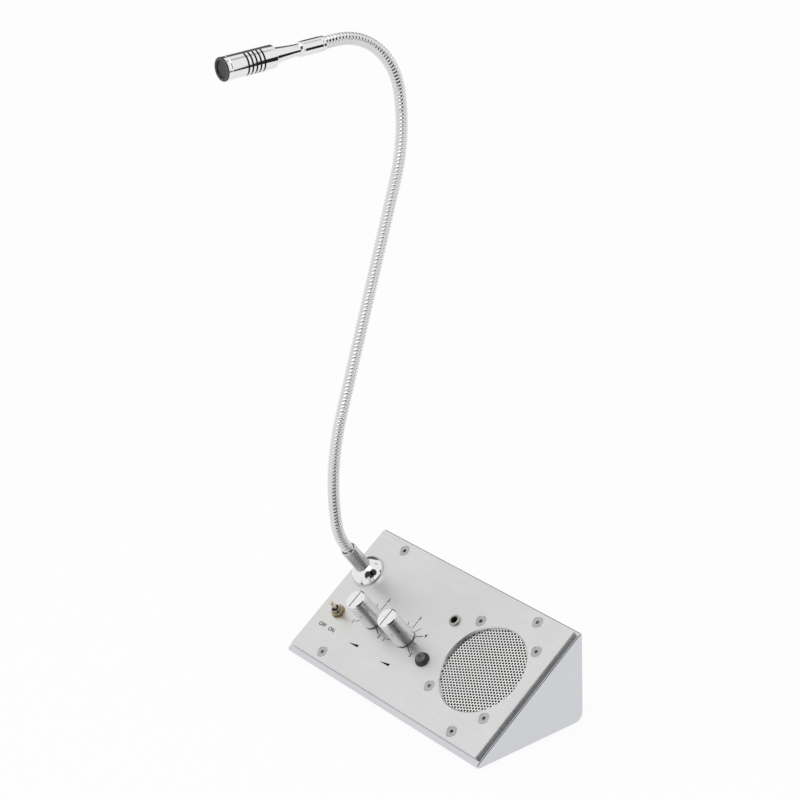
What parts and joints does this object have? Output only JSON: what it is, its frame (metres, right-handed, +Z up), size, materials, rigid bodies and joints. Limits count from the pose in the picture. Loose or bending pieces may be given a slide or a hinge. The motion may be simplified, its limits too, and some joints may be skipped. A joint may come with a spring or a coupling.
{
  "type": "teller window intercom",
  "caption": "Sloping counter-window intercom base with a gooseneck microphone, level knobs, toggle switch, lamp, jack and round speaker grille.",
  "frame": {"origin": "middle of the case's underside", "axes": "+X to the user's right, +Y to the rear, +Z up; the plate slopes down towards -Y"},
  "size_m": [0.196, 0.1359, 0.4169],
  "materials": {
    "case": "polished folded sheet",
    "plate": "fine brushed, satin",
    "polished": "bright polished",
    "neck": "bright, ribbed",
    "knob": "fine turned, satin",
    "screw": "stainless",
    "nut": "zinc plated",
    "black_plastic": "satin black",
    "black_metal": "satin black",
    "mesh": "dark woven wire",
    "lens": "clear grey",
    "cone": "black pulp",
    "magnet": "dull",
    "brass": "plain",
    "board": "lacquered",
    "rubber": "matt",
    "white_plastic": "plain"
  },
  "bodies": {
    "base": {"housing": "case", "front_panel": "plate", "panel_screws": "screw", "panel_nuts": "nut", "speaker_grille": "plate", "speaker_frame": "black_metal", "speaker_cone": "cone", "speaker_magnet": "magnet", "speaker_screws": "screw", "speaker_nuts": "nut", "neck_dome": "polished", "neck_collar": "polished", "neck_washer": "nut", "neck_nut": "nut", "neck_foot": "neck", "toggle_case": "nut", "toggle_washer": "nut", "toggle_nut": "polished", "talk_pot": "nut", "talk_nut": "nut", "listen_pot": "nut", "listen_nut": "nut", "lamp_bezel": "black_plastic", "lamp_lens": "lens", "lamp_led": "lens", "lamp_nut": "nut", "mic_jack": "black_plastic", "mic_jack_nut": "polished", "line_jack": "black_plastic", "line_jack_nut": "polished", "power_inlet": "black_plastic", "power_inlet_nut": "nut", "circuit_board": "board", "board_posts": "white_plastic", "board_capacitors": "black_plastic", "amplifier_chip": "black_plastic", "rubber_feet": "rubber"},
    "neck_root": {"neck_root": "neck"},
    "neck_lower": {"neck_lower": "neck"},
    "neck_upper": {"neck_upper": "neck"},
    "neck_tip": {"neck_tip": "neck"},
    "microphone": {"mic_ferrule": "polished", "mic_taper": "polished", "mic_barrel": "polished", "mic_ring": "black_metal", "mic_mesh": "mesh", "mic_capsule": "black_metal"},
    "toggle": {"toggle_lever": "polished"},
    "talk_control": {"talk_knob": "knob", "talk_shaft": "brass"},
    "listen_control": {"listen_knob": "knob", "listen_shaft": "brass"}
  },
  "joints": [
    {"name": "neck_base_side", "type": "hinge", "parent": "base", "child": "neck_root", "pos_m": [-0.081, -0.00244, 0.06877], "axis": [0, 0.8222, 0.5691], "range_deg": [-25, 25]},
    {"name": "neck_base_lean", "type": "hinge", "parent": "neck_root", "child": "neck_lower", "pos_m": [-0.081, -0.00849, 0.08022], "axis": [1, 0, 0], "range_deg": [-25, 25]},
    {"name": "neck_middle_bend", "type": "hinge", "parent": "neck_lower", "child": "neck_upper", "pos_m": [-0.081, 0.02734, 0.24883], "axis": [1, 0, 0], "range_deg": [-25, 25]},
    {"name": "head_nod", "type": "hinge", "parent": "neck_upper", "child": "neck_tip", "pos_m": [-0.081, 0.01514, 0.40848], "axis": [1, 0, 0], "range_deg": [-25, 25]},
    {"name": "head_turn", "type": "hinge", "parent": "neck_tip", "child": "microphone", "pos_m": [-0.081, -0.00034, 0.40863], "axis": [0, -0.0295, 0.9996], "range_deg": [-25, 25]},
    {"name": "toggle_throw", "type": "hinge", "parent": "base", "child": "toggle", "pos_m": [-0.0785, -0.01523, 0.02769], "axis": [0, 0.8222, 0.5691], "range_deg": [-22, 0]},
    {"name": "talk_turn", "type": "hinge", "parent": "base", "child": "talk_control", "pos_m": [-0.04809, -0.00858, 0.03108], "axis": [0, -0.5691, 0.8222], "range_deg": [-120, 120]},
    {"name": "listen_turn", "type": "hinge", "parent": "base", "child": "listen_control", "pos_m": [-0.01518, -0.00866, 0.03102], "axis": [0, -0.5691, 0.8222], "range_deg": [-120, 120]}
  ]
}
